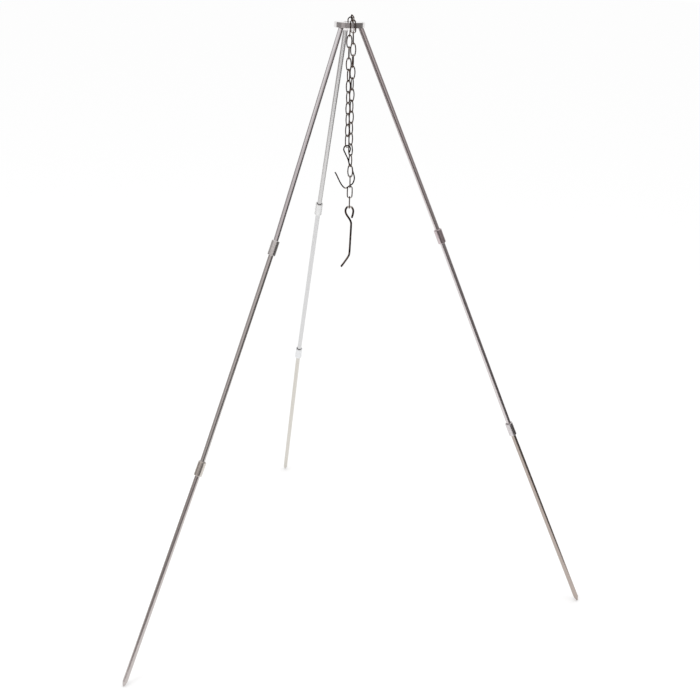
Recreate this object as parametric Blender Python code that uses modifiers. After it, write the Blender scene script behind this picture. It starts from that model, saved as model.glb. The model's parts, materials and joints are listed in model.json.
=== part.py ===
"""Cauldron stand: a plug-together tripod with a head disc, a doubled chain and two wire hooks.

Everything is laid out from the head: z = 0 is the disc's underside and the chain's hole is on the
z axis. The front is -Y. An empty named stand then lifts it all, so that the feet stand on z = 0 and
the origin is under the middle of the space that they span.
"""
import bpy
from math import atan2, cos, pi, radians, sin
from mathutils import Matrix, Vector

# Head disc, in metres
HEAD_RADIUS = 0.024
HEAD_THICKNESS = 0.0082
HEAD_EDGE = 0.0006
HUB_RADIUS = 0.0128
HUB_DEPTH = 0.0045
HOLE_RADIUS = 0.0094
SOCKET_RADIUS = 0.0044
SOCKET_DEPTH = 0.0055
LEG_ENTRY_RADIUS = 0.0181
HEAD_HEIGHT = 1.0017

# Legs: three rods each, plugged together in sleeves that sit on the lower rod of each joint
ROD_RADIUS = 0.0040
ROD_EDGE = 0.0004
UPPER_LENGTH = 0.3521
MIDDLE_LENGTH = 0.3670
FOOT_FLAT_RADIUS = 0.0014
FOOT_TAPER = 0.0075
SLEEVE_RADIUS = 0.0065
SLEEVE_HALF_LENGTH = 0.0120
SLEEVE_EDGE = 0.0008
SLEEVE_TIGHT_BORE = 0.00435
SLEEVE_LOOSE_BORE = 0.00465
ROD_SIDES = 24
HEAD_SIDES = 64
GAP = 0.0003
BUTT_GAP = 0.0004

# Azimuth where a leg enters the head, then azimuth and lean of its three rods, in degrees
LEGS = {
    "left": (226.58, ((225.17, 22.61), (223.15, 23.70), (222.54, 24.81))),
    "right": (346.58, ((355.19, 23.71), (352.96, 23.30), (355.77, 24.04))),
    "back": (106.58, ((106.61, 23.52), (104.89, 24.04), (103.06, 23.36))),
}

# Chain: plain oval links
WIRE_RADIUS = 0.0009
LINK_PITCH = 0.01713
LEFT_PITCH = 0.01690
LINK_BOW = 0.0039
LINK_ARC_STEPS = 7
WIRE_SEAT = 2 * WIRE_RADIUS + GAP
LINK_LENGTH = LINK_PITCH + WIRE_SEAT
BOW_SPAN = LINK_LENGTH - 2 * LINK_BOW
BOW_REACH = LINK_BOW - WIRE_SEAT
# where two links cross at a slant, their wires need a little more room
CROSS_REACH = BOW_REACH - 0.0002

# The two links over the head: how steeply each lies, in degrees, and where the front one ends
RIM_LINK_DIP = 12.0
RIM_LINK_SLANT = 13.0
RIM_LINK_FRONT_BOW = Vector((0.0059, -0.0250, 0.0130))
RIM_HANG_ANGLE = 20.0
RIM_HANG_SHIFT = -0.0007
HOLE_LINK_RISE = 45.0
HOLE_LINK_SLANT = -4.0
HOLE_LINK_TURN = 29.0
# where on the rim link's rear bow the hole link sits, and how far round its own bow, in degrees
HOLE_SEAT_RISE = 20.0
HOLE_SHOULDER = 36.0

# Routes of the two strands, as x and y at a height, and how far the links are turned on the way
RIGHT_ROUTE = (
    (0.00480, -0.0267, 0.0120),
    (0.00620, -0.0260, -0.0060),
    (0.00690, -0.0252, -0.0300),
    (0.00700, -0.0222, -0.1100),
    (0.00750, -0.0195, -0.1850),
    (0.00850, -0.0174, -0.2450),
)
LEFT_ROUTE = (
    (0.00200, 0.0010, 0.0100),
    (0.00030, -0.0002, -0.0220),
    (0.00110, -0.0056, -0.0900),
    (0.00200, -0.0114, -0.1880),
)
RIGHT_COUNT = 15
LEFT_COUNT = 11
RIGHT_TWIST = ((1, 0), (3, 4), (7, 31), (10, 38), (13, 55), (15, 90))
LEFT_TWIST = ((1, 0), (3, 4), (6, 38), (9, 40), (11, 45))

# Where the tail link and the adjusting hook sit in the last link of the right strand
TAIL_SEAT_ANGLE = 37.0
HOOK_SEAT_ANGLE = 46.0

# Hooks: bent wire, points in the hook's own plane from the place where it hangs
ADJUSTING_WIRE_RADIUS = 0.00105
ADJUSTING_POINTS = (
    (0.0031, -0.0118), (0.0048, -0.0077), (0.0052, -0.0043), (0.0038, -0.0011), (0.0000, 0.0000),
    (-0.0034, -0.0012), (-0.0050, -0.0042), (-0.0049, -0.0076), (-0.0030, -0.0116), (-0.0007, -0.0159),
    (0.0011, -0.0195), (0.0026, -0.0232), (0.0035, -0.0264), (0.0048, -0.0291), (0.0076, -0.0318),
    (0.0093, -0.0349), (0.0101, -0.0397), (0.0128, -0.0480), (0.0131, -0.0530), (0.0119, -0.0576),
    (0.0100, -0.0608), (0.0064, -0.0633), (0.0012, -0.0672), (-0.0014, -0.0676), (-0.0036, -0.0662),
    (-0.0064, -0.0633), (-0.0097, -0.0583), (-0.0162, -0.0458), (-0.0183, -0.0427),
)
POT_WIRE_RADIUS = 0.0016
POT_POINTS = (
    (0.0045, 0.0, -0.0184), (0.0062, 0.0, -0.0116), (0.0064, 0.0, -0.0056), (0.0038, 0.0, -0.0009),
    (0.0, 0.0, 0.0), (-0.0036, 0.0, -0.0010), (-0.0059, 0.0, -0.0052), (-0.0057, 0.0, -0.0098),
    (-0.0035, 0.0, -0.0144), (0.0010, 0.0, -0.0208), (0.0031, 0.0, -0.0252), (0.0038, 0.0, -0.0305),
    (0.0032, 0.0, -0.0540), (0.0026, -0.0002, -0.0750), (0.0018, -0.0014, -0.0808),
    (-0.0005, -0.0036, -0.0850), (-0.0052, -0.0080, -0.0911), (-0.0106, -0.0124, -0.0979),
)
# room between each hook's eye and the link that it hangs in
ADJUSTING_EYE_GAP = 0.0008
POT_EYE_GAP = 0.0004

# How finely bent wire is drawn: degrees of turning for each point, and sides around it
WIRE_TURN_STEP = 15.0
WIRE_SIDES_RESOLUTION = 2

COLLECTION = "cauldron_stand"
frames = {}


def clear_scene():
    for obj in list(bpy.data.objects):
        bpy.data.objects.remove(obj, do_unlink=True)
    for name in (COLLECTION, "cutters"):
        old = bpy.data.collections.get(name)
        if old:
            bpy.data.collections.remove(old)
        bpy.context.scene.collection.children.link(bpy.data.collections.new(name))


def metal(name, color, roughness):
    material = bpy.data.materials.new(name)
    material.use_nodes = True
    shader = material.node_tree.nodes["Principled BSDF"]
    shader.inputs["Base Color"].default_value = (*color, 1.0)
    shader.inputs["Metallic"].default_value = 1.0
    shader.inputs["Roughness"].default_value = roughness
    return material


def add_object(name, data, material=None, collection=COLLECTION):
    obj = bpy.data.objects.new(name, data)
    bpy.data.collections[collection].objects.link(obj)
    if material and not data.materials:
        data.materials.append(material)
    return obj


def place(obj, frame, parent=None):
    """Put an object at a frame given in the head's coordinates, as a child of another."""
    local = frame
    if parent:
        obj.parent = parent
        local = frames[parent.name].inverted() @ frame
    obj.location = local.to_translation()
    obj.rotation_euler = local.to_euler()
    frames[obj.name] = frame
    return obj


def pivot(name, point, parent, axis_frame=None):
    empty = add_object(name, None)
    empty.empty_display_size = 0.01
    frame = Matrix.Translation(point)
    if axis_frame:
        frame = frame @ axis_frame.to_4x4()
    return place(empty, frame, parent)


def frame_from(point, up, across):
    """A frame at a point, with Z along up and X as near to across as it can be."""
    z = up.normalized()
    x = (across - across.dot(z) * z).normalized()
    y = z.cross(x)
    frame = Matrix((x, y, z)).transposed().to_4x4()
    frame.translation = point
    return frame


def direction(azimuth, lean):
    """Unit vector that points down and outwards, at a lean from the vertical."""
    a = radians(azimuth)
    t = radians(lean)
    return Vector((sin(t) * cos(a), sin(t) * sin(a), -cos(t)))


def turned(name, profile, sides, material, closed=False):
    """A lathe-turned piece: the profile's (radius, height) points run down its outer side."""
    count = len(profile)
    edges = [(i, i + 1) for i in range(count - 1)]
    if closed:
        edges.append((count - 1, 0))
    mesh = bpy.data.meshes.new(name)
    mesh.from_pydata([(radius, 0.0, height) for radius, height in profile], edges, [])
    obj = add_object(name, mesh, material)
    screw = obj.modifiers.new("turn", "SCREW")
    screw.axis = "Z"
    screw.angle = 2 * pi
    screw.steps = sides
    screw.render_steps = sides
    screw.use_merge_vertices = True
    screw.merge_threshold = 0.00001
    screw.use_smooth_shade = True
    return obj


def wire(name, points, radius, material, cyclic=False):
    """Round wire along a list of points."""
    curve = bpy.data.curves.new(name, "CURVE")
    curve.dimensions = "3D"
    curve.bevel_depth = radius
    curve.bevel_resolution = WIRE_SIDES_RESOLUTION
    curve.use_fill_caps = not cyclic
    spline = curve.splines.new("POLY")
    spline.points.add(len(points) - 1)
    for point, place_at in zip(spline.points, points):
        point.co = (*place_at, 1.0)
    spline.use_cyclic_u = cyclic
    spline.use_smooth = True
    curve.materials.append(material)
    return curve


def between(table, key):
    """Read a value between the rows of a table whose first column rises or falls."""
    for (k0, *low), (k1, *high) in zip(table, table[1:]):
        if min(k0, k1) <= key <= max(k0, k1):
            t = (key - k0) / (k1 - k0)
            return [a + (b - a) * t for a, b in zip(low, high)]
    return list(table[0][1:] if abs(key - table[0][0]) < abs(key - table[-1][0]) else table[-1][1:])


def route_point(route, height):
    x, y = between([(z, x, y) for x, y, z in route], height)
    return Vector((x, y, height))


def junctions(route, start, count, pitch):
    """Points one pitch apart along a route, from a start, where neighbouring links meet."""
    points = [start]
    for _ in range(count):
        height = points[-1].z - pitch
        for _ in range(4):
            step = route_point(route, height) - points[-1]
            height = points[-1].z + step.z * pitch / step.length
        points.append(points[-1] + (route_point(route, height) - points[-1]).normalized() * pitch)
    return points


def smooth_wire_points(points):
    """Points on a smooth curve through hand-set points, one for each few degrees of turning."""
    pts = [Vector((p[0], 0.0, p[1])) if len(p) == 2 else Vector(p) for p in points]
    ends = [2 * pts[0] - pts[1]] + pts + [2 * pts[-1] - pts[-2]]
    fine = []
    for p0, p1, p2, p3 in zip(ends, ends[1:], ends[2:], ends[3:]):
        for i in range(12):
            t = i / 12
            fine.append(0.5 * (2 * p1 + (p2 - p0) * t + (2 * p0 - 5 * p1 + 4 * p2 - p3) * t ** 2
                               + (3 * p1 - p0 - 3 * p2 + p3) * t ** 3))
    fine.append(pts[-1])
    kept = [fine[0]]
    heading = fine[1] - fine[0]
    for before, here, after in zip(fine, fine[1:], fine[2:]):
        if (after - here).angle(heading) > radians(WIRE_TURN_STEP):
            kept.append(here)
            heading = after - here
    kept.append(fine[-1])
    return kept


def link_curve(steel):
    """The closed loop of one chain link: two half circles joined by straight sides."""
    points = []
    for centre, start in ((BOW_SPAN / 2, 0.0), (-BOW_SPAN / 2, pi)):
        for i in range(LINK_ARC_STEPS + 1):
            a = start + pi * i / LINK_ARC_STEPS
            points.append((LINK_BOW * cos(a), 0.0, centre + LINK_BOW * sin(a)))
    return wire("chain_link", points, WIRE_RADIUS, steel, cyclic=True)


def add_link(name, curve, upper_bow, lower_bow, across, parent):
    """A link between its two bow centres, with its wide side along across."""
    frame = frame_from((upper_bow + lower_bow) / 2, upper_bow - lower_bow, across)
    return place(add_object(name, curve), frame, parent)


def facing(turn):
    """The wide side's direction of a link turned by some degrees from facing the front."""
    return Vector((cos(radians(turn)), sin(radians(turn)), 0.0))


def build_head(parent, steel):
    rim = HEAD_RADIUS
    top = HEAD_THICKNESS
    edge = HEAD_EDGE
    profile = [
        (rim - edge, top), (rim, top - edge), (rim, edge), (rim - edge, 0.0),
        (HUB_RADIUS, 0.0), (HUB_RADIUS, -HUB_DEPTH + edge), (HUB_RADIUS - edge, -HUB_DEPTH),
        (HOLE_RADIUS + edge, -HUB_DEPTH), (HOLE_RADIUS, -HUB_DEPTH + edge),
        (HOLE_RADIUS, top - edge), (HOLE_RADIUS + edge, top),
    ]
    head = place(turned("head_disc", profile, HEAD_SIDES, steel, closed=True), Matrix.Identity(4), parent)
    for side, (azimuth, sections) in LEGS.items():
        entry = direction(azimuth, 90.0) * LEG_ENTRY_RADIUS
        down = direction(*sections[0])
        length = SOCKET_DEPTH + 0.010
        bpy.ops.mesh.primitive_cylinder_add(vertices=ROD_SIDES, radius=SOCKET_RADIUS, depth=length)
        cutter = bpy.context.active_object
        cutter.name = side + "_socket_cutter"
        for collection in list(cutter.users_collection):
            collection.objects.unlink(cutter)
        bpy.data.collections["cutters"].objects.link(cutter)
        centre = entry + down * (length / 2 - SOCKET_DEPTH)
        place(cutter, frame_from(centre, -down, Vector((0.0, 0.0, 1.0))), parent)
        cutter.hide_render = True
        cutter.display_type = "WIRE"
        cut = head.modifiers.new(side + "_socket", "BOOLEAN")
        cut.operation = "DIFFERENCE"
        cut.object = cutter
        cut.solver = "EXACT"
    return head


def rod_profile(length, pointed):
    r = ROD_RADIUS
    e = ROD_EDGE
    profile = [(0.0, 0.0), (r - e, 0.0), (r, -e)]
    if pointed:
        profile += [(r, FOOT_TAPER - length), (FOOT_FLAT_RADIUS, -length)]
    else:
        profile += [(r, e - length), (r - e, -length)]
    return profile + [(0.0, -length)]


def sleeve_profile():
    r = SLEEVE_RADIUS
    h = SLEEVE_HALF_LENGTH
    e = SLEEVE_EDGE
    return [
        (r - e, h), (r, h - e), (r, e - h), (r - e, -h),
        (SLEEVE_TIGHT_BORE + e / 2, -h), (SLEEVE_TIGHT_BORE, e / 2 - h), (SLEEVE_TIGHT_BORE, 0.0),
        (SLEEVE_LOOSE_BORE, 0.0), (SLEEVE_LOOSE_BORE, h - e / 2), (SLEEVE_LOOSE_BORE + e / 2, h),
    ]


def build_leg(side, parent, rod_steel, sleeve_steel):
    azimuth, sections = LEGS[side]
    downs = [direction(*section) for section in sections]
    start = direction(azimuth, 90.0) * LEG_ENTRY_RADIUS
    first_joint = start + downs[0] * UPPER_LENGTH
    second_joint = first_joint + downs[1] * MIDDLE_LENGTH
    # the lower rod ends where the rim of its blunt point meets the ground
    tilt = radians(sections[2][1])
    foot_drop = HEAD_HEIGHT + second_joint.z - FOOT_FLAT_RADIUS * sin(tilt)
    foot = second_joint + downs[2] * (foot_drop / cos(tilt))
    tops = (start - downs[0] * (SOCKET_DEPTH - GAP), first_joint + downs[1] * BUTT_GAP / 2,
            second_joint + downs[2] * BUTT_GAP / 2)
    bottoms = (first_joint - downs[0] * BUTT_GAP / 2, second_joint - downs[1] * BUTT_GAP / 2, foot)
    carrier = parent
    for part, top, bottom, down in zip(("upper", "middle", "lower"), tops, bottoms, downs):
        outward = Vector((down.x, down.y, 0.0))
        axes = frame_from(Vector(), -down, outward).to_3x3()
        carrier = pivot(f"{side}_{part}_slide", top, carrier, axes)
        rod = turned(f"{side}_{part}_rod", rod_profile((bottom - top).length, part == "lower"),
                     ROD_SIDES, rod_steel)
        place(rod, frames[carrier.name], carrier)
        if part != "upper":
            centre = top - down * BUTT_GAP / 2
            name = f"{side}_{'upper' if part == 'middle' else 'lower'}_sleeve"
            sleeve = turned(name, sleeve_profile(), ROD_SIDES, sleeve_steel, closed=True)
            place(sleeve, Matrix.Translation(centre) @ axes.to_4x4(), carrier)


def strand(side, route, start, count, pitch, twist, curve, parent):
    """Links between the junctions of a route; odd links face the front before the twist."""
    points = junctions(route, start, count, pitch)
    side_turn = 0.0 if side == "right" else -90.0
    for i in range(count):
        run = (points[i + 1] - points[i]).normalized()
        inset = run * (LINK_BOW - WIRE_SEAT / 2)
        turn = side_turn + between(twist, i + 1)[0] + (0.0 if i % 2 == 0 else -90.0)
        add_link(f"{side}_link_{i + 1}", curve, points[i] + inset, points[i + 1] - inset, facing(turn), parent)
    return points


def build_chain(parent, chain_steel, hook_steel):
    curve = link_curve(chain_steel)
    down = Vector((0.0, 0.0, -1.0))

    # rim_link lies on its edge over the front rim; hole_link leans from the hole's edge up to it
    dip = radians(RIM_LINK_DIP)
    slant = radians(RIM_LINK_SLANT)
    rearward = Vector((-sin(slant) * cos(dip), cos(slant) * cos(dip), sin(dip)))
    front_bow = RIM_LINK_FRONT_BOW
    rear_bow = front_bow + rearward * BOW_SPAN
    add_link("rim_link", curve, front_bow, rear_bow, Vector((0.0, 0.0, 1.0)), parent)
    rise = radians(HOLE_LINK_RISE)
    lean = radians(HOLE_LINK_SLANT)
    forward_up = Vector((sin(lean) * cos(rise), -cos(lean) * cos(rise), sin(rise)))
    seat = radians(HOLE_SEAT_RISE)
    seat_side = Vector((-sin(slant) * cos(seat), cos(slant) * cos(seat), sin(seat)))
    across = facing(HOLE_LINK_TURN)
    across = (across - across.dot(forward_up) * forward_up).normalized()
    shoulder = radians(HOLE_SHOULDER)
    hole_seat = rear_bow + seat_side * CROSS_REACH
    hole_upper = hole_seat - (across * sin(shoulder) + forward_up * cos(shoulder)) * LINK_BOW
    hole_lower = hole_upper - forward_up * BOW_SPAN
    hole_bottom = hole_lower - forward_up * LINK_BOW
    add_link("hole_link", curve, hole_upper, hole_lower, across, parent)

    # left strand, with the adjusting hook at its end
    left_sway = pivot("left_strand_sway", hole_bottom, parent)
    first_bow = hole_bottom - forward_up * CROSS_REACH
    left_start = first_bow - down * (LINK_BOW - WIRE_SEAT / 2)
    left = strand("left", LEFT_ROUTE, left_start, LEFT_COUNT, LEFT_PITCH, LEFT_TWIST, curve, left_sway)

    # right strand
    angle = radians(RIM_HANG_ANGLE)
    hang = front_bow + Vector((0.0, -cos(angle), -sin(angle))) * CROSS_REACH
    rim_wire = front_bow + Vector((0.0, -cos(angle), -sin(angle))) * LINK_BOW
    right_sway = pivot("right_strand_sway", rim_wire, parent)
    right_start = hang + Vector((RIM_HANG_SHIFT, 0.0, 0.0003)) + down * (WIRE_SEAT / 2)
    right = strand("right", RIGHT_ROUTE, right_start, RIGHT_COUNT, LINK_PITCH, RIGHT_TWIST, curve, right_sway)

    # the last link's lower bow holds the tail in front and the adjusting hook behind it
    run = (right[-1] - right[-2]).normalized()
    last_bow = right[-1] - run * (LINK_BOW - WIRE_SEAT / 2)
    tail = radians(TAIL_SEAT_ANGLE)
    tail_top = last_bow + Vector((0.0, -sin(tail), -cos(tail))) * BOW_REACH
    tail_pivots = [Vector((last_bow.x, tail_top.y, tail_top.z - WIRE_SEAT))]
    carrier = pivot("tail_sway", tail_pivots[0], right_sway)
    for number, turn in ((RIGHT_COUNT + 1, 0.0), (RIGHT_COUNT + 2, 90.0)):
        upper = tail_top + down * LINK_BOW
        lower = upper + down * BOW_SPAN
        add_link(f"right_link_{number}", curve, upper, lower, facing(turn), carrier)
        bottom_wire = lower + down * LINK_BOW
        tail_top = bottom_wire - down * WIRE_SEAT
        if number == RIGHT_COUNT + 1:
            carrier = pivot("tail_tilt", bottom_wire, carrier)
    carrier = pivot("pot_hook_swing", bottom_wire, carrier)
    pot = wire("pot_hook", smooth_wire_points(POT_POINTS), POT_WIRE_RADIUS, hook_steel)
    eye_top = bottom_wire - down * (WIRE_RADIUS + POT_WIRE_RADIUS + POT_EYE_GAP)
    place(add_object("pot_hook", pot), Matrix.Translation(eye_top), carrier)

    # adjusting hook: its eye hangs in the last left link and its bend passes through the last right one
    eye_wire = left[-1] + (left[-1] - left[-2]).normalized() * WIRE_SEAT / 2
    eye_top = eye_wire - down * (WIRE_RADIUS + ADJUSTING_WIRE_RADIUS + ADJUSTING_EYE_GAP)
    seat = radians(HOOK_SEAT_ANGLE)
    reach = LINK_BOW - WIRE_RADIUS - ADJUSTING_WIRE_RADIUS - GAP
    crossing = last_bow + Vector((0.0, sin(seat), -cos(seat))) * reach
    tilt = atan2(crossing.y - eye_top.y, eye_top.z - crossing.z)
    hook = wire("adjusting_hook", smooth_wire_points(ADJUSTING_POINTS), ADJUSTING_WIRE_RADIUS, hook_steel)
    frame = Matrix.Translation(eye_top) @ Matrix.Rotation(tilt, 4, "X")
    place(add_object("adjusting_hook", hook), frame, left_sway)


def centre_on_feet(stand):
    """Move the stand so that the origin is on the ground, in the middle of what the feet span."""
    bpy.context.view_layer.update()
    graph = bpy.context.evaluated_depsgraph_get()
    corners = []
    for side in LEGS:
        rod = bpy.data.objects[side + "_lower_rod"].evaluated_get(graph)
        mesh = rod.to_mesh()
        corners += [rod.matrix_world @ vertex.co for vertex in mesh.vertices]
        rod.to_mesh_clear()
    for axis in range(2):
        values = [corner[axis] for corner in corners]
        stand.location[axis] -= (min(values) + max(values)) / 2
    stand.location.z -= min(corner.z for corner in corners)


def main():
    clear_scene()
    rod_steel = metal("rod_steel", (0.62, 0.61, 0.60), 0.25)
    sleeve_steel = metal("sleeve_steel", (0.66, 0.66, 0.65), 0.35)
    head_steel = metal("head_steel", (0.52, 0.50, 0.48), 0.30)
    chain_steel = metal("chain_steel", (0.33, 0.31, 0.29), 0.32)
    hook_steel = metal("hook_steel", (0.30, 0.27, 0.25), 0.35)

    stand = add_object("stand", None)
    place(stand, Matrix.Identity(4))
    build_head(stand, head_steel)
    for side in LEGS:
        build_leg(side, stand, rod_steel, sleeve_steel)
    build_chain(stand, chain_steel, hook_steel)
    centre_on_feet(stand)

    bpy.context.view_layer.update()
    for obj in bpy.data.collections[COLLECTION].objects:
        if obj.type == "EMPTY":
            axis = obj.matrix_world.to_3x3() @ Vector((0.0, 0.0, 1.0))
            place_text = " ".join(f"{v:.6f}" for v in obj.matrix_world.translation)
            print(f"{obj.name}: at {place_text}, Z axis {axis.x:.6f} {axis.y:.6f} {axis.z:.6f}")


main()
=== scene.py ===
import json
import math

import bpy
import numpy as np
from mathutils import Matrix, Vector


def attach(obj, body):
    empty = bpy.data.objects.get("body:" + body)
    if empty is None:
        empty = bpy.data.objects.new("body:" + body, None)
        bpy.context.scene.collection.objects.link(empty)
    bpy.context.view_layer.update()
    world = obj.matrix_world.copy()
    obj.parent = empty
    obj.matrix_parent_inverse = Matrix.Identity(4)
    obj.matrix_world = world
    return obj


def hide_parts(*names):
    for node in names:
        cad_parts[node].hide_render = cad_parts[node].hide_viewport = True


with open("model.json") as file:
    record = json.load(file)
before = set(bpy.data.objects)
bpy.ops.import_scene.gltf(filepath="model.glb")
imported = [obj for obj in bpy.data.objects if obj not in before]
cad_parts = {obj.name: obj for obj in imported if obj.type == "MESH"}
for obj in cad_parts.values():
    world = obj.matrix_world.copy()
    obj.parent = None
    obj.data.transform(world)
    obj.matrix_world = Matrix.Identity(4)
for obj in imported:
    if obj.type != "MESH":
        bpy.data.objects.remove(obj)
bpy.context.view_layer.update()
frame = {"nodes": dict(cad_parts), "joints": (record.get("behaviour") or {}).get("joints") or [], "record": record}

bodies = frame["record"]["behaviour"]["bodies"]
bodyOf = {node: body for body, nodes in bodies.items() for node in nodes}
joints = {joint["name"]: joint for joint in frame["joints"]}
legs = ("left", "right", "back")
nodePoints = {}
for nodeName, nodeObject in frame["nodes"].items():
    flat = np.zeros(len(nodeObject.data.vertices) * 3)
    nodeObject.data.vertices.foreach_get("co", flat)
    nodePoints[nodeName] = flat.reshape(-1, 3)
print("frame loaded:", len(nodePoints), "nodes")


# One socket of a material. Sums and products of sockets and numbers add their Math nodes.
class Socket:
    def __init__(self, paint, socket):
        self.paint = paint
        self.socket = socket

    def math(self, operation, first, second):
        return self.paint.add("ShaderNodeMath", {"operation": operation}, {0: first, 1: second})

    def __add__(self, other):
        return self.math("ADD", self, other)

    def __radd__(self, other):
        return self.math("ADD", other, self)

    def __sub__(self, other):
        return self.math("SUBTRACT", self, other)

    def __rsub__(self, other):
        return self.math("SUBTRACT", other, self)

    def __mul__(self, other):
        return self.math("MULTIPLY", self, other)

    def __rmul__(self, other):
        return self.math("MULTIPLY", other, self)

    def __abs__(self):
        return self.math("ABSOLUTE", self, 0.0)

    # 0 below low, 1 above high, a smooth step between
    def step(self, low, high):
        return self.paint.add("ShaderNodeMapRange", {"interpolation_type": "SMOOTHSTEP"},
                              {"Value": self, "From Min": low, "From Max": high})


# The sockets of a Mix node that mix colours
mixSockets = {"factor": 0, "first": 6, "second": 7, "result": 2}


# A material being drawn
class Paint:
    def __init__(self, name):
        self.material = bpy.data.materials.new(name)
        self.material.use_nodes = True
        self.tree = self.material.node_tree
        self.tree.nodes.clear()

    # One node of any type: its settings first, then the values or links of its sockets
    def add(self, kind, settings, values, output=0):
        node = self.tree.nodes.new(kind)
        for key, value in settings.items():
            setattr(node, key, value)
        for key, value in values.items():
            if isinstance(value, Socket):
                self.tree.links.new(value.socket, node.inputs[key])
            else:
                node.inputs[key].default_value = value
        return Socket(self, node.outputs[output])

    # The place on the piece itself that its surface carries
    def ownPlace(self):
        return self.add("ShaderNodeAttribute", {"attribute_name": "ownPlace"}, {}, "Vector")

    def objectPlace(self):
        return self.add("ShaderNodeTexCoord", {}, {}, "Object")

    # The third part of a vector: along the axis of a turned piece, or along a wire
    def alongOf(self, vector):
        return self.add("ShaderNodeSeparateXYZ", {}, {"Vector": vector}, "Z")

    # Noise on a vector, stretched by a scale for each axis
    def noise(self, vector, scale, detail=2.0, roughness=0.5):
        stretched = self.add("ShaderNodeMapping", {}, {"Vector": vector, "Scale": scale})
        return self.add("ShaderNodeTexNoise", {}, {"Vector": stretched, "Scale": 1.0, "Detail": detail,
                                                   "Roughness": roughness})

    # From the first colour to the second. Each is a colour or a socket.
    def colour(self, factor, first, second):
        ends = [(*end, 1.0) if isinstance(end, tuple) else end for end in (first, second)]
        return self.add("ShaderNodeMix", {"data_type": "RGBA"},
                        {mixSockets["factor"]: factor, mixSockets["first"]: ends[0],
                         mixSockets["second"]: ends[1]}, mixSockets["result"])

    # The finished steel. Its bumps follow height, as deep and as strong as bump says, and edge is the
    # tint that it has seen edge-on.
    def steel(self, colour, roughness, height, bump, edge=(1.0, 1.0, 1.0, 1.0)):
        normal = self.add("ShaderNodeBump", {},
                          {"Height": height, "Distance": bump[0], "Strength": bump[1]})
        return self.finish(self.add(
            "ShaderNodeBsdfPrincipled", {},
            {"Base Color": colour, "Roughness": roughness, "Metallic": 1.0, "Specular Tint": edge,
             "Normal": normal}))

    # The output material node has no output socket, so it is added apart
    def finish(self, shader):
        node = self.tree.nodes.new("ShaderNodeOutputMaterial")
        self.tree.links.new(shader.socket, node.inputs["Surface"])
        return self.material


upwards = np.array((0.0, 0.0, 1.0))
rightwards = np.array((1.0, 0.0, 0.0))
backwards = np.array((0.0, 1.0, 0.0))


# Vectors made one unit long
def unit(vectors):
    return vectors / np.linalg.norm(vectors, axis=-1, keepdims=True)


# Two unit vectors square to an axis, the first as near to a wanted direction as it can be
def squareTo(axis, wanted):
    across = unit(wanted - axis * (wanted @ axis))
    return across, np.cross(axis, across)


# The distance along a path of each of its points
def distanceAlong(path):
    steps = np.linalg.norm(np.diff(path, axis=0), axis=1)
    return np.concatenate(((0.0,), np.cumsum(steps)))


# Unit vectors along which points spread least, more and most
def spreadOf(points):
    return np.linalg.eigh(np.cov((points - points.mean(0)).T))[1].T


# Where the slide of a leg's rod starts, and the unit vector along it, down the leg
def slideOf(leg, part):
    joint = joints[f"{leg}_{part}_slide"]
    return np.array(joint["pos_m"]), unit(np.array(joint["axis"]))


# A mesh as an object at the origin
def placeMesh(name, mesh, material):
    mesh.materials.append(material)
    piece = bpy.data.objects.new(name, mesh)
    bpy.context.scene.collection.objects.link(piece)
    return piece


# A surface over a grid of points, rings by sides. Each ring is closed. The rings close on each other
# when looped, and otherwise the first and last end in a pole. own holds each point's place on the
# piece itself, for the patterns that follow its surface.
def surface(name, grid, own, looped, material):
    rings, sides = grid.shape[:2]
    index = np.arange(rings * sides).reshape(rings, sides)
    below = index if looped else index[:-1]
    above = np.roll(index, -1, axis=0) if looped else index[1:]
    quads = np.stack((below, np.roll(below, -1, 1), np.roll(above, -1, 1), above), -1).reshape(-1, 4)
    points = grid.reshape(-1, 3)
    places = own.reshape(-1, 3)
    fans = np.zeros((0, 3), int)
    if not looped:
        pole = rings * sides
        points = np.vstack((points, grid[0].mean(0), grid[-1].mean(0)))
        places = np.vstack((places, own[0].mean(0), own[-1].mean(0)))
        first = np.stack((np.roll(index[0], -1), index[0], np.full(sides, pole)), -1)
        last = np.stack((index[-1], np.roll(index[-1], -1), np.full(sides, pole + 1)), -1)
        fans = np.vstack((first, last))
    triangles = np.vstack((quads[:, (0, 1, 2)], quads[:, (0, 2, 3)], fans))
    corners = points[triangles] - points.mean(0)
    volume = np.einsum("ij,ij->i", corners[:, 0], np.cross(corners[:, 1], corners[:, 2])).sum()
    if volume < 0:  # turned inside out
        quads = quads[:, ::-1]
        fans = fans[:, ::-1]
    mesh = bpy.data.meshes.new(name)
    mesh.from_pydata(points.tolist(), [], quads.tolist() + fans.tolist())
    mesh.attributes.new("ownPlace", "FLOAT_VECTOR", "POINT").data.foreach_set("vector", places.ravel())
    mesh.shade_smooth()
    return placeMesh(name, mesh, material)


# Around an axis that points up by more than this, angles start from the right and not from above
nearlyUpright = 0.99


# A turned piece: point = origin + axis * along + (u cos a + v sin a) * radius, for each point
# (radius, along) of the profile and each angle a
def turned(name, profile, origin, axis, sides, looped, material):
    u, v = squareTo(axis, upwards if abs(axis[2]) < nearlyUpright else rightwards)
    angle = np.linspace(0, 2 * np.pi, sides, endpoint=False)
    radius = profile[:, 0][:, None]
    along = np.repeat(profile[:, 1][:, None], sides, 1)
    own = np.stack((radius * np.cos(angle), radius * np.sin(angle), along), -1)
    grid = origin + own[..., :1] * u + own[..., 1:2] * v + own[..., 2:] * axis
    return surface(name, grid, own, looped, material)


arcs = {"steps": 6, "guard": 0.00012}


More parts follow.
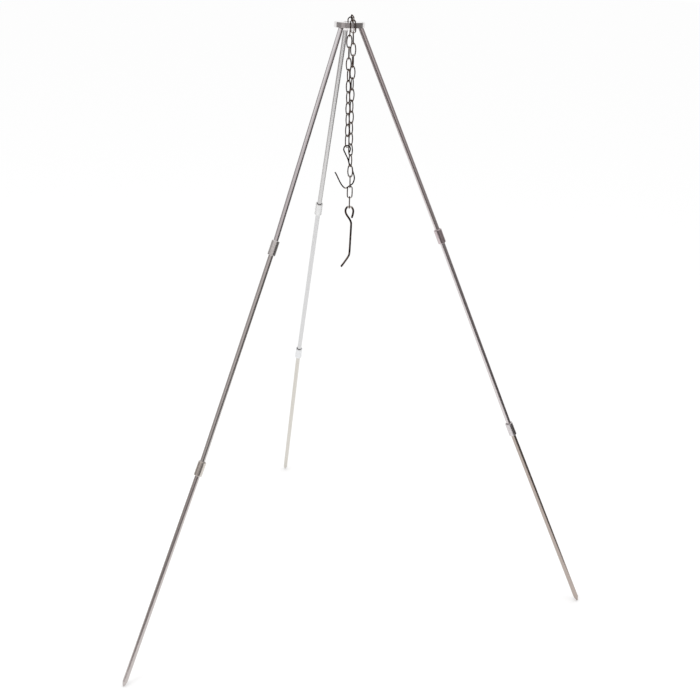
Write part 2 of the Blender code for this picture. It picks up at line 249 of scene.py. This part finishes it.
# A profile with its corners rounded. Each corner (radius, along, rounding) becomes an arc that
# touches both of its edges, and a guard point just past each arc keeps the flats flat.
def rounded(corners, looped):
    count = len(corners)
    out = []
    for i, (radius, along, rounding) in enumerate(corners):
        here = np.array((radius, along))
        if not rounding or (not looped and i in (0, count - 1)):
            out.append(here)
            continue
        before = unit(np.array(corners[i - 1][:2]) - here)
        after = unit(np.array(corners[(i + 1) % count][:2]) - here)
        half = np.arccos(np.clip(before @ after, -1, 1)) / 2
        reach = rounding / np.tan(half)
        middle = here + unit(before + after) * rounding / np.sin(half)
        start = here + before * reach - middle
        end = here + after * reach - middle
        turn = np.linspace(0, 1, arcs["steps"] + 1)[:, None]
        swing = np.arccos(np.clip(start @ end / rounding ** 2, -1, 1))
        arc = (np.sin((1 - turn) * swing) * start + np.sin(turn * swing) * end) / np.sin(swing)
        out.append(here + before * (reach + arcs["guard"]))
        out.extend(middle + arc)
        out.append(here + after * (reach + arcs["guard"]))
    return np.array(out)


# Wire along a path: point = path + (side cos a + out sin a) * radius. side is square to the path
# and to the normal of the plane that the wire is bent in, and out completes the three.
def wireAlong(name, path, plane, radius, sides, looped, material):
    ahead = np.roll(path, -1, 0) - np.roll(path, 1, 0)
    if not looped:
        ahead[0] = path[1] - path[0]
        ahead[-1] = path[-1] - path[-2]
    ahead = unit(ahead)
    side = unit(np.cross(ahead, plane))
    out = np.cross(side, ahead)
    angle = np.linspace(0, 2 * np.pi, sides, endpoint=False)
    radius = np.broadcast_to(radius, len(path))[:, None]
    ring = side[:, None] * np.cos(angle)[:, None] + out[:, None] * np.sin(angle)[:, None]
    own = np.stack(np.broadcast_arrays(radius * np.cos(angle), radius * np.sin(angle),
                                       distanceAlong(path)[:, None]), -1)
    return surface(name, path[:, None] + ring * radius[..., None], own, looped, material)


# The finished piece takes its node's place and rides on its body
def dress(piece, node):
    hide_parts(node)
    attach(piece, bodyOf[node])


# Rods: drawn bright steel. pale and deep are the two colours of each rod's streaks. In a grain, three
# numbers together are the scales of a noise, and two are the values between which it takes hold,
# except bump, which is how deep and how strong the bumps are.
rodShape = {"radius": 0.0040, "edge": 0.0004, "topCentre": 0.0012, "footFlat": 0.0014, "footTaper": 0.0075,
            "taperRound": 0.0040, "footRound": 0.0006, "footCentre": 0.00035, "sides": 72, "rings": 24}
# Each rod's pale and deep are set rod by rod, and besides the steel's own tone they carry painted light and shade:
# how bright that rod looks where it stands.
rodColoursAndShade = {
    "left_upper": {"pale": (0.695, 0.670, 0.680), "deep": (0.600, 0.575, 0.585), "roughness": 0.20},
    "left_middle": {"pale": (0.615, 0.590, 0.575), "deep": (0.530, 0.505, 0.495), "roughness": 0.20},
    "left_lower": {"pale": (0.555, 0.510, 0.500), "deep": (0.480, 0.440, 0.425), "roughness": 0.20},
    "right_upper": {"pale": (0.655, 0.600, 0.600), "deep": (0.550, 0.505, 0.505), "roughness": 0.20},
    "right_middle": {"pale": (0.660, 0.610, 0.615), "deep": (0.580, 0.540, 0.545), "roughness": 0.20},
    "right_lower": {"pale": (0.465, 0.400, 0.370), "deep": (0.395, 0.340, 0.300), "roughness": 0.20},
    "back_upper": {"pale": (0.640, 0.630, 0.625), "deep": (0.565, 0.560, 0.560), "roughness": 0.22},
    "back_middle": {"pale": (0.680, 0.680, 0.680), "deep": (0.630, 0.625, 0.630), "roughness": 0.24},
    "back_lower": {"pale": (0.675, 0.650, 0.605), "deep": (0.620, 0.595, 0.550), "roughness": 0.24},
}
drawnGrain = {"fine": (1800.0, 1800.0, 5.0), "broad": (420.0, 420.0, 3.0), "fineShare": 0.5,
              "contrast": (0.32, 0.68), "marks": (160.0, 160.0, 24.0), "marked": (0.45, 0.75),
              "fineDulls": 0.03, "marksDull": 0.04, "bump": (0.000004, 0.3)}


# Fine and broad streaks change the colour, and the fine ones and faint marks the gloss
def drawnSteel(name, look):
    paint = Paint(name)
    own = paint.ownPlace()
    fine = paint.noise(own, drawnGrain["fine"])
    broad = paint.noise(own, drawnGrain["broad"])
    marks = paint.noise(own, drawnGrain["marks"], detail=3.0)
    share = drawnGrain["fineShare"]
    shade = (fine * share + broad * (1.0 - share)).step(*drawnGrain["contrast"])
    colour = paint.colour(shade, look["deep"], look["pale"])
    roughness = (look["roughness"] + (fine - 1.0) * drawnGrain["fineDulls"]
                 + marks.step(*drawnGrain["marked"]) * drawnGrain["marksDull"])
    return paint.steel(colour, roughness, fine, drawnGrain["bump"])


# A rod as long as its node, with rounded ends, and a blunt point on the lowest one of a leg
def makeRod(leg, part):
    node = f"{leg}_{part}_rod"
    origin, axis = slideOf(leg, part)
    length = ((nodePoints[node] - origin) @ axis).max()
    radius = rodShape["radius"]
    edge = rodShape["edge"]
    corners = [(rodShape["topCentre"], 0.0, 0), (radius, 0.0, edge)]
    corners += [(radius, along, 0) for along in np.linspace(0, length, rodShape["rings"])[1:-1]]
    if part == "lower":
        corners += [(radius, length - rodShape["footTaper"], rodShape["taperRound"]),
                    (rodShape["footFlat"], length, rodShape["footRound"])]
    else:
        corners += [(radius, length, edge)]
    corners += [(rodShape["footCentre"], length, 0)]
    material = drawnSteel(node + "_steel", rodColoursAndShade[f"{leg}_{part}"])
    piece = turned(node + "_drawn", rounded(corners, False), origin, axis, rodShape["sides"], False,
                   material)
    dress(piece, node)


# Sleeves: turned steel with rounded ends. sleeveOn names the rod that each one is fixed to.
sleeveShape = {"radius": 0.0065, "half": 0.0120, "edge": 0.0009, "boreEdge": 0.0003, "tightBore": 0.00435,
               "looseBore": 0.00465, "buttGap": 0.0004, "sides": 96}
# Each sleeve's pale and deep are set sleeve by sleeve, and besides the steel's own tone they carry painted light
# and shade: how bright that sleeve looks where it stands.
sleeveColoursAndShade = {
    "left_upper": {"pale": (0.760, 0.745, 0.735), "deep": (0.640, 0.630, 0.620), "roughness": 0.22},
    "left_lower": {"pale": (0.690, 0.645, 0.600), "deep": (0.570, 0.535, 0.495), "roughness": 0.22},
    "right_upper": {"pale": (0.625, 0.540, 0.555), "deep": (0.520, 0.445, 0.455), "roughness": 0.22},
    "right_lower": {"pale": (0.670, 0.635, 0.645), "deep": (0.560, 0.530, 0.535), "roughness": 0.20},
    "back_upper": {"pale": (0.780, 0.780, 0.780), "deep": (0.690, 0.685, 0.680), "roughness": 0.26},
    "back_lower": {"pale": (0.790, 0.800, 0.810), "deep": (0.720, 0.720, 0.725), "roughness": 0.28},
}
sleeveOn = {"upper": "middle", "lower": "lower"}
turnedGrain = {"rings": (120.0, 120.0, 5200.0), "broad": (260.0, 260.0, 500.0), "ringsShare": 0.5,
               "contrast": (0.38, 0.62), "ringsDull": 0.08, "bump": (0.00003, 0.5)}


def turnedSteel(name, look):
    paint = Paint(name)
    own = paint.ownPlace()
    rings = paint.noise(own, turnedGrain["rings"])
    broad = paint.noise(own, turnedGrain["broad"])
    share = turnedGrain["ringsShare"]
    shade = (rings * share + broad * (1.0 - share)).step(*turnedGrain["contrast"])
    colour = paint.colour(shade, look["deep"], look["pale"])
    roughness = look["roughness"] + (rings - 0.5) * turnedGrain["ringsDull"]
    return paint.steel(colour, roughness, rings, turnedGrain["bump"])


# A sleeve centred on the gap between two rods. Its bore is tight on the rod below and looser on the
# one that plugs into it.
def makeSleeve(leg, part):
    node = f"{leg}_{part}_sleeve"
    end, axis = slideOf(leg, sleeveOn[part])
    centre = end - axis * sleeveShape["buttGap"] / 2
    radius = sleeveShape["radius"]
    half = sleeveShape["half"]
    edge = sleeveShape["edge"]
    boreEdge = sleeveShape["boreEdge"]
    tight = sleeveShape["tightBore"]
    loose = sleeveShape["looseBore"]
    corners = [(radius, -half, edge), (radius, half, edge), (tight, half, boreEdge), (tight, 0.0, 0),
               (loose, 0.0, 0), (loose, -half, boreEdge)]
    material = turnedSteel(node + "_steel", sleeveColoursAndShade[f"{leg}_{part}"])
    piece = turned(node + "_turned", rounded(corners, True), centre, axis, sleeveShape["sides"], True,
                   material)
    dress(piece, node)


# Head disc: a turned ring with a hub under it and a blind socket for each leg. pale and deep are the
# two colours of its rim, and top and under those of its faces. topFrom is how far below the top its
# colour starts and is full, and underTo how high above the rim's lower edge the other one ends.
headShape = {"radius": 0.0240, "thickness": 0.0082, "edge": 0.0007, "rimEdge": 0.0003, "hub": 0.0128,
             "hubDepth": 0.0045, "hubTaper": 0.0026, "hubFillet": 0.0004, "hole": 0.0094, "sides": 192,
             "socketRadius": 0.0044, "socketGap": 0.0003, "cutLength": 0.0160, "cutCentre": 0.0011,
             "socketSides": 48, "sharpFrom": 32}
headFinish = {"pale": (0.80, 0.74, 0.735), "deep": (0.62, 0.56, 0.555), "top": (0.79, 0.78, 0.78),
              "under": (0.80, 0.78, 0.775), "roughness": 0.16, "ringsOutwards": 3000.0,
              "ringsUpwards": 2500.0, "broad": (180.0, 180.0, 60.0), "ringsShare": 0.4,
              "contrast": (0.38, 0.62), "ringsDull": 0.08, "topFrom": (0.0004, 0.0001),
              "underTo": 0.0003, "bump": (0.00003, 0.4)}


# Rings around the axis come from noise on the distance from it and on the height
def headSteel():
    paint = Paint("head_steel_turned")
    own = paint.ownPlace()
    height = paint.alongOf(own)
    level = paint.add("ShaderNodeVectorMath", {"operation": "MULTIPLY"}, {0: own, 1: (1.0, 1.0, 0.0)})
    outwards = paint.add("ShaderNodeVectorMath", {"operation": "LENGTH"}, {0: level}, "Value")
    place = outwards * headFinish["ringsOutwards"] + height * headFinish["ringsUpwards"]
    rings = paint.add("ShaderNodeTexNoise", {"noise_dimensions": "1D"},
                      {"W": place, "Scale": 1.0, "Detail": 2.0})
    broad = paint.noise(own, headFinish["broad"], detail=3.0)
    share = headFinish["ringsShare"]
    shade = (rings * share + broad * (1.0 - share)).step(*headFinish["contrast"])
    side = paint.colour(shade, headFinish["deep"], headFinish["pale"])
    onTop = height.step(*(headShape["thickness"] - depth for depth in headFinish["topFrom"]))
    onSide = height.step(0.0, headFinish["underTo"])
    colour = paint.colour(onTop, paint.colour(onSide, headFinish["under"], side), headFinish["top"])
    roughness = headFinish["roughness"] + (rings - 0.5) * headFinish["ringsDull"]
    return paint.steel(colour, roughness, rings, headFinish["bump"])


# The ring and hub in one profile, minus a straight bore along the axis of each leg's upper rod
def makeHead():
    points = nodePoints["head_disc"]
    low, high = points.min(0), points.max(0)
    top = headShape["thickness"]
    origin = np.array(((low[0] + high[0]) / 2, (low[1] + high[1]) / 2, high[2] - top))
    radius = headShape["radius"]
    hub = headShape["hub"]
    down = -headShape["hubDepth"]
    hole = headShape["hole"]
    edge = headShape["edge"]
    rimEdge = headShape["rimEdge"]
    corners = [(hub, 0.0, headShape["hubFillet"]), (hub - headShape["hubTaper"], down, edge),
               (hole, down, edge), (hole, top, edge), (radius, top, rimEdge), (radius, 0.0, rimEdge)]
    material = headSteel()
    head = turned("head_disc_turned", rounded(corners, True), origin, upwards, headShape["sides"], True,
                  material)
    inner = headShape["cutCentre"]
    outer = headShape["socketRadius"]
    length = headShape["cutLength"]
    bore = np.array(((inner, 0.0), (outer, 0.0), (outer, length), (inner, length)))
    cutters = []
    for leg in legs:
        start, axis = slideOf(leg, "upper")
        start = start - axis * headShape["socketGap"]
        cutter = turned(leg + "_socket_cutter", bore, start, axis, headShape["socketSides"], False,
                        material)
        cut = head.modifiers.new(leg + "_socket", "BOOLEAN")
        cut.operation = "DIFFERENCE"
        cut.solver = "EXACT"
        cut.object = cutter
        cutters.append(cutter)
    bpy.context.view_layer.update()
    head.data = bpy.data.meshes.new_from_object(head.evaluated_get(bpy.context.evaluated_depsgraph_get()))
    head.modifiers.clear()
    for cutter in cutters:
        bpy.data.objects.remove(cutter)
    head.data.shade_smooth()
    head.data.set_sharp_from_angle(angle=math.radians(headShape["sharpFrom"]))
    dress(head, "head_disc")


# Wire: plain steel, dark with grime, and with a painted highlight near each place given by its length
# along the wire, standing in for the white floor reflected in its bends. reach is how far from there it
# is pale, and edge the tint that it has seen edge-on.
wireFinishes = {
    "link": {"deep": (0.036, 0.027, 0.024), "brown": (0.170, 0.120, 0.100), "paintedHighlight": (0.60, 0.57, 0.54),
             "edge": (0.30, 0.26, 0.24, 1.0), "roughness": 0.20, "reach": 0.0042},
    "adjusting_hook": {"deep": (0.016, 0.011, 0.009), "brown": (0.070, 0.044, 0.034),
                       "paintedHighlight": (0.36, 0.32, 0.29), "edge": (0.06, 0.045, 0.04, 1.0), "roughness": 0.18,
                       "reach": 0.0026},
    "pot_hook": {"deep": (0.036, 0.028, 0.026), "brown": (0.165, 0.122, 0.106),
                 "paintedHighlight": (0.60, 0.57, 0.54), "edge": (0.22, 0.17, 0.15, 1.0), "roughness": 0.20,
                 "reach": 0.0048},
}
wireGrain = {"fine": (2200.0, 2200.0, 120.0), "grime": (150.0, 150.0, 150.0), "contrast": (0.38, 0.62),
             "highlightCore": 0.4, "highlightLeast": 0.55, "highlightGrain": 0.7, "highlightContrast": (0.1, 0.9),
             "fineDulls": 0.08, "grimy": (0.4, 0.7), "grimeDulls": 0.10, "bump": (0.00002, 0.4)}


def wireSteel(name, look, highlightAt):
    paint = Paint(name)
    own = paint.ownPlace()
    along = paint.alongOf(own)
    fine = paint.noise(own, wireGrain["fine"], detail=3.0)
    grime = paint.noise(paint.objectPlace(), wireGrain["grime"], detail=4.0, roughness=0.55)
    core = wireGrain["highlightCore"] * look["reach"]
    # painted highlight: the wire turns pale near each given place, standing in for the white floor seen there
    bright = sum(1.0 - abs(along - at).step(core, look["reach"]) for at in highlightAt)
    bright = bright * (wireGrain["highlightLeast"] + fine * wireGrain["highlightGrain"])
    colour = paint.colour(grime.step(*wireGrain["contrast"]), look["deep"], look["brown"])
    colour = paint.colour(bright.step(*wireGrain["highlightContrast"]), colour, look["paintedHighlight"])
    roughness = (look["roughness"] + fine * wireGrain["fineDulls"]
                 + grime.step(*wireGrain["grimy"]) * wireGrain["grimeDulls"])
    return paint.steel(colour, roughness, fine, wireGrain["bump"], look["edge"])


# Chain links: a loop of wire, an oval of four arcs, with a weld in one side. half is its half width
# at the wire's middle and bow the radius of its ends, which is wider where links sit askew, over the
# head and at the adjusting hook.
linkShape = {"wire": 0.0009, "half": 0.0039, "bow": 0.0028, "askewBow": 0.0037, "length": 0.01923,
             "askew": ("rim_link", "hole_link", "right_link_1", "left_link_1", "left_link_11",
                       "right_link_15", "right_link_16"),
             "bowSteps": 20, "sideSteps": 14, "sides": 20, "weld": 0.09, "weldLength": 0.0011}


# The wire's middle line around a link, from the bottom up its right side: x across, z along. The side
# arcs have the radius that makes them touch the bows.
def linkOutline(bow):
    half = linkShape["half"]
    rise = linkShape["length"] / 2 - bow
    side = (half ** 2 - bow ** 2 + rise ** 2) / (2 * (half - bow))
    join = math.atan2(rise, side - half)
    up = np.linspace(-np.pi / 2, -join, linkShape["bowSteps"] // 2 + 1)
    middle = np.linspace(-join, join, linkShape["sideSteps"] + 1)[1:-1]
    x = np.concatenate((bow * np.cos(up), side * np.cos(middle) - (side - half), bow * np.cos(up)[::-1]))
    z = np.concatenate((bow * np.sin(up) - rise, side * np.sin(middle), rise - bow * np.sin(up)[::-1]))
    return np.stack((np.concatenate((x, -x[-2:0:-1])), np.concatenate((z, z[-2:0:-1]))))


# How long the wire of a link is
def linkLength():
    points = linkOutline(linkShape["bow"])
    return float(np.linalg.norm(points - np.roll(points, 1, 1), axis=0).sum())


# A link at the middle of its node and turned as the node is. At the weld the wire's radius swells by
# a bell curve of the distance from it.
def makeLink(node, material):
    points = nodePoints[node]
    centre = (points.max(0) + points.min(0)) / 2
    plane, _, along = spreadOf(points)
    if along[2] < 0:
        along = -along
    across = np.cross(plane, along)
    x, z = linkOutline(linkShape["askewBow" if node in linkShape["askew"] else "bow"])
    fromWeld = np.hypot(x + linkShape["half"], z)
    swell = linkShape["weld"] * np.exp(-(fromWeld / linkShape["weldLength"]) ** 2)
    path = centre + x[:, None] * across + z[:, None] * along
    radius = linkShape["wire"] * (1 + swell)
    piece = wireAlong(node + "_bent", path, plane, radius, linkShape["sides"], True, material)
    dress(piece, node)


# Hooks: bent wire through points in the hook's own frame, x across, y back and z up from the top of
# its eye. Its painted highlight sits at the end that its table names, where a link of the chain hangs.
hookShapes = {
    "adjusting_hook": {
        "wire": 0.00105, "sides": 24, "highlightEnd": "bottom",
        "points": ((0.0031, 0, -0.0118), (0.0048, 0, -0.0077), (0.0052, 0, -0.0043), (0.0038, 0, -0.0011),
                   (0.0, 0, 0.0), (-0.0034, 0, -0.0012), (-0.0050, 0, -0.0042), (-0.0049, 0, -0.0076),
                   (-0.0030, 0, -0.0116), (-0.0007, 0, -0.0159), (0.0011, 0, -0.0195), (0.0026, 0, -0.0232),
                   (0.0035, 0, -0.0264), (0.0048, 0, -0.0291), (0.0076, 0, -0.0318), (0.0093, 0, -0.0349),
                   (0.0101, 0, -0.0397), (0.0128, 0, -0.0480), (0.0131, 0, -0.0530), (0.0119, 0, -0.0576),
                   (0.0100, 0, -0.0608), (0.0064, 0, -0.0633), (0.0012, 0, -0.0672), (-0.0014, 0, -0.0676),
                   (-0.0036, 0, -0.0662), (-0.0064, 0, -0.0633), (-0.0097, 0, -0.0583),
                   (-0.0162, 0, -0.0458), (-0.0183, 0, -0.0427)),
    },
    "pot_hook": {
        "wire": 0.0016, "sides": 32, "highlightEnd": "top",
        "points": ((0.0045, 0, -0.0184), (0.0062, 0, -0.0116), (0.0064, 0, -0.0056), (0.0038, 0, -0.0009),
                   (0.0, 0, 0.0), (-0.0036, 0, -0.0010), (-0.0059, 0, -0.0052), (-0.0057, 0, -0.0098),
                   (-0.0035, 0, -0.0144), (0.0010, 0, -0.0208), (0.0031, 0, -0.0252), (0.0038, 0, -0.0305),
                   (0.0032, 0, -0.0540), (0.0026, -0.0002, -0.0750), (0.0018, -0.0014, -0.0808),
                   (-0.0005, -0.0036, -0.0850), (-0.0052, -0.0080, -0.0911), (-0.0106, -0.0124, -0.0979)),
    },
}
hookEnds = {"curveSteps": 10, "bevel": 0.25, "shoulder": 0.075}


# Curve through all points: between two of them, a cubic whose slopes come from the points beside
def throughPoints(points):
    pts = np.array(points, float)
    ends = np.vstack((2 * pts[0] - pts[1], pts, 2 * pts[-1] - pts[-2]))
    p0, p1, p2, p3 = ends[:-3, None], ends[1:-2, None], ends[2:-1, None], ends[3:, None]
    t = np.linspace(0, 1, hookEnds["curveSteps"], endpoint=False)[None, :, None]
    curve = 0.5 * (2 * p1 + (p2 - p0) * t + (2 * p0 - 5 * p1 + 4 * p2 - p3) * t ** 2
                   + (3 * p1 - p0 - 3 * p2 + p3) * t ** 3)
    return np.vstack((curve.reshape(-1, 3), pts[-1]))


# A hook is drawn in its own frame, and then moved into its node's box there: to the middle across, to
# the back and to the top. bevel and shoulder cut its ends, as shares of the wire's radius.
def makeHook(node):
    shape = hookShapes[node]
    wire = shape["wire"]
    points = nodePoints[node]
    plane = backwards
    if node == "adjusting_hook":  # which is bent in a plane of its own
        plane = spreadOf(points)[0]
        plane = plane * np.sign(plane[1])
    across, square = squareTo(plane, rightwards)
    up = square * np.sign(square[2])
    axes = np.array((across, plane, up))
    local = points @ axes.T
    path = throughPoints(shape["points"])
    low = path.min(0) - wire
    high = path.max(0) + wire
    shift = local.max(0) - high
    shift[0] = (local.max(0)[0] + local.min(0)[0] - low[0] - high[0]) / 2
    path = (path + shift) @ axes
    ahead = unit(path[1] - path[0])
    behind = unit(path[-1] - path[-2])
    bevel = hookEnds["bevel"] * wire
    shoulder = hookEnds["shoulder"] * wire
    path = np.vstack((path[0], path[0] + ahead * shoulder, path[0] + ahead * bevel, path[1:-1],
                      path[-1] - behind * bevel, path[-1] - behind * shoulder, path[-1]))
    radius = np.full(len(path), wire)
    radius[[0, -1]] = wire - bevel
    radius[[1, -2]] = wire - shoulder
    ends = {"top": path[:, 2].argmax(), "bottom": path[:, 2].argmin()}
    highlightAt = float(distanceAlong(path)[ends[shape["highlightEnd"]]])
    material = wireSteel(node + "_steel", wireFinishes[node], (highlightAt,))
    piece = wireAlong(node + "_bent", path, axes[1], radius, shape["sides"], False, material)
    dress(piece, node)


# The studio: a wide white floor with a faint grain, and a white sky
studio = {"floor": 30.0, "floorColour": (0.985, 0.985, 0.985), "grain": (40.0, 40.0, 40.0),
          "grainDepth": 0.004, "sky": 1.0}


def makeFloor():
    paint = Paint("studio_floor")
    grain = paint.noise(paint.objectPlace(), studio["grain"])
    deep = tuple(part - studio["grainDepth"] for part in studio["floorColour"])
    colour = paint.colour(grain, studio["floorColour"], deep)
    material = paint.finish(paint.add("ShaderNodeBsdfDiffuse", {}, {"Color": colour}))
    mesh = bpy.data.meshes.new("studio_floor")
    half = studio["floor"]
    mesh.from_pydata([(-half, -half, 0), (half, -half, 0), (half, half, 0), (-half, half, 0)], [],
                     [(0, 1, 2, 3)])
    placeMesh("studio_floor", mesh, material)


def makeSky():
    world = bpy.data.worlds.new("studio_sky")
    bpy.context.scene.world = world
    world.use_nodes = True
    background = world.node_tree.nodes["Background"]
    background.inputs["Color"].default_value = (1.0, 1.0, 1.0, 1.0)
    background.inputs["Strength"].default_value = studio["sky"]


# The room as polished steel sees it, and nothing else does: a darker floor around the white paper,
# and the walls. Each band runs from turn to turn, in degrees from the right (0) over the back (90).
# inner and outer are the half widths of a floor band, across and back.
room = {"floorMiddle": (-0.30, 0.10), "floorHeight": 0.003, "wallMiddle": (0.0, 0.0), "wallReach": 5.0,
        "steps": 73, "power": 0.6, "weave": (3.0, 3.0, 3.0), "deep": (0.92, 0.86, 0.855),
        "pale": (1.08, 1.01, 1.0)}
floorBands = {
    "left_floor": {"inner": (1.15, 1.25), "outer": (1.70, 1.80), "turn": (171, 270), "shade": 0.48},
    "right_floor": {"inner": (1.05, 1.25), "outer": (1.70, 1.80), "turn": (-90, 16), "shade": 0.18},
    "far_left_floor": {"inner": (1.70, 1.80), "outer": (9.0, 9.0), "turn": (171, 246), "shade": 0.36},
    "far_front_floor": {"inner": (1.70, 1.80), "outer": (9.0, 9.0), "turn": (246, 300), "shade": 0.10},
    "far_right_floor": {"inner": (1.70, 1.80), "outer": (9.0, 9.0), "turn": (-60, 16), "shade": 0.16},
}
walls = {
    "left_low_wall": {"heights": (0.0, 1.0), "turn": (169, 200), "shade": 0.27},
    "far_left_low_wall": {"heights": (0.0, 1.0), "turn": (200, 243), "shade": 0.42},
    "front_low_wall": {"heights": (0.0, 1.0), "turn": (243, 306), "shade": 0.26},
    "right_low_wall": {"heights": (0.0, 0.6), "turn": (-54, 19), "shade": 0.035},
    "right_middle_wall": {"heights": (0.6, 1.0), "turn": (-54, 19), "shade": 0.26},
    "right_upper_wall": {"heights": (1.0, 1.4), "turn": (-54, 45), "shade": 0.13},
    "right_high_wall": {"heights": (1.4, 3.5), "turn": (-54, 45), "shade": 0.34},
    "front_high_wall": {"heights": (1.0, 3.5), "turn": (248, 306), "shade": 0.72},
    "far_left_wall": {"heights": (1.0, 3.5), "turn": (200, 248), "shade": 0.62},
    "left_wall": {"heights": (1.0, 3.5), "turn": (130, 200), "shade": 0.42},
}


# A band between two outlines (half across, half back, height): point = middle + (half across * cos a,
# half back * sin a), where a power of each cosine and sine squares the outline a little
def makeScreen(name, look, middle, outlines):
    paint = Paint(name + "_cloth")
    weave = paint.noise(paint.objectPlace(), room["weave"])
    deep = tuple(look["shade"] * part for part in room["deep"])
    pale = tuple(look["shade"] * part for part in room["pale"])
    colour = paint.colour(weave, deep, pale)
    material = paint.finish(paint.add("ShaderNodeEmission", {}, {"Color": colour, "Strength": 1.0}))
    turn = np.radians(np.linspace(*look["turn"], room["steps"]))
    across = np.sign(np.cos(turn)) * np.abs(np.cos(turn)) ** room["power"]
    back = np.sign(np.sin(turn)) * np.abs(np.sin(turn)) ** room["power"]
    rows = [np.stack((middle[0] + halfAcross * across, middle[1] + halfBack * back,
                      np.full(len(turn), height)), -1) for halfAcross, halfBack, height in outlines]
    index = np.arange(len(turn) * 2).reshape(2, -1)
    quads = np.stack((index[0, :-1], index[0, 1:], index[1, 1:], index[1, :-1]), -1)
    mesh = bpy.data.meshes.new(name)
    mesh.from_pydata(np.vstack(rows).tolist(), [], quads.tolist())
    screen = placeMesh(name, mesh, material)
    screen.visible_camera = False
    screen.visible_diffuse = False
    screen.visible_shadow = False


def makeFloorBand(name, look):
    height = room["floorHeight"]
    makeScreen(name, look, room["floorMiddle"], [(*look["inner"], height), (*look["outer"], height)])


def makeWall(name, look):
    reach = room["wallReach"]
    makeScreen(name, look, room["wallMiddle"], [(reach, reach, height) for height in look["heights"]])


# Soft lamps that don't show in the steel
lamps = {
    "key_lamp": {"at": (-1.6, -1.8, 2.4), "towards": (0.0, 0.0, 0.5), "size": 1.2, "power": 12.0},
    "fill_lamp": {"at": (1.8, -1.2, 2.2), "towards": (0.0, 0.0, 0.5), "size": 1.2, "power": 4.0},
}


def makeLamp(name, look):
    light = bpy.data.lights.new(name, "AREA")
    light.size = look["size"]
    light.energy = look["power"]
    lamp = bpy.data.objects.new(name, light)
    at = Vector(look["at"])
    lamp.location = at
    lamp.rotation_euler = (Vector(look["towards"]) - at).to_track_quat("-Z", "Y").to_euler()
    bpy.context.scene.collection.objects.link(lamp)
    lamp.visible_glossy = False


# The camera as solved from the photograph: its place in metres, its turns in degrees, and its focal
# length and the picture's width in pixels
view = {"at": (-0.061617, -1.72137, 1.1139), "yaw": 0.609, "pitch": 21.278, "roll": 1.921,
        "focal": 1028.69, "picture": 700.0, "sensor": 36.0, "nearest": 0.05}


def makeCamera():
    yaw = math.radians(view["yaw"])
    pitch = math.radians(view["pitch"])
    roll = math.radians(view["roll"])
    ahead = Vector((math.sin(yaw) * math.cos(pitch), math.cos(yaw) * math.cos(pitch), -math.sin(pitch)))
    right = Vector((math.cos(yaw), -math.sin(yaw), 0.0))
    up = right.cross(ahead)
    across = right * math.cos(roll) + up * math.sin(roll)
    upward = up * math.cos(roll) - right * math.sin(roll)
    turn = Matrix((across, upward, -ahead)).transposed().to_4x4()
    data = bpy.data.cameras.new("photo_camera")
    data.sensor_width = view["sensor"]
    data.lens = view["sensor"] * view["focal"] / view["picture"]
    data.clip_start = view["nearest"]
    camera = bpy.data.objects.new("photo_camera", data)
    camera.matrix_world = Matrix.Translation(view["at"]) @ turn
    bpy.context.scene.collection.objects.link(camera)
    bpy.context.scene.camera = camera


makeCamera()
makeSky()
makeFloor()
for bandName, bandLook in floorBands.items():
    makeFloorBand(bandName, bandLook)
for wallName, wallLook in walls.items():
    makeWall(wallName, wallLook)
for lampName, lampLook in lamps.items():
    makeLamp(lampName, lampLook)
print("studio ready")

for legName in legs:
    for partName in ("upper", "middle", "lower"):
        makeRod(legName, partName)
    for partName in sleeveOn:
        makeSleeve(legName, partName)
print("legs ready")

makeHead()
print("head ready")

# the links' painted highlight sits at both ends of the outline, on each link's bottom bow
linkSteel = wireSteel("link_wire_steel", wireFinishes["link"], (0.0, linkLength()))
for nodeName in nodePoints:
    if "link" in nodeName:
        makeLink(nodeName, linkSteel)
print("chain ready")

for nodeName in hookShapes:
    makeHook(nodeName)
print("hooks ready")

bpy.context.scene.view_settings.view_transform = "Standard"
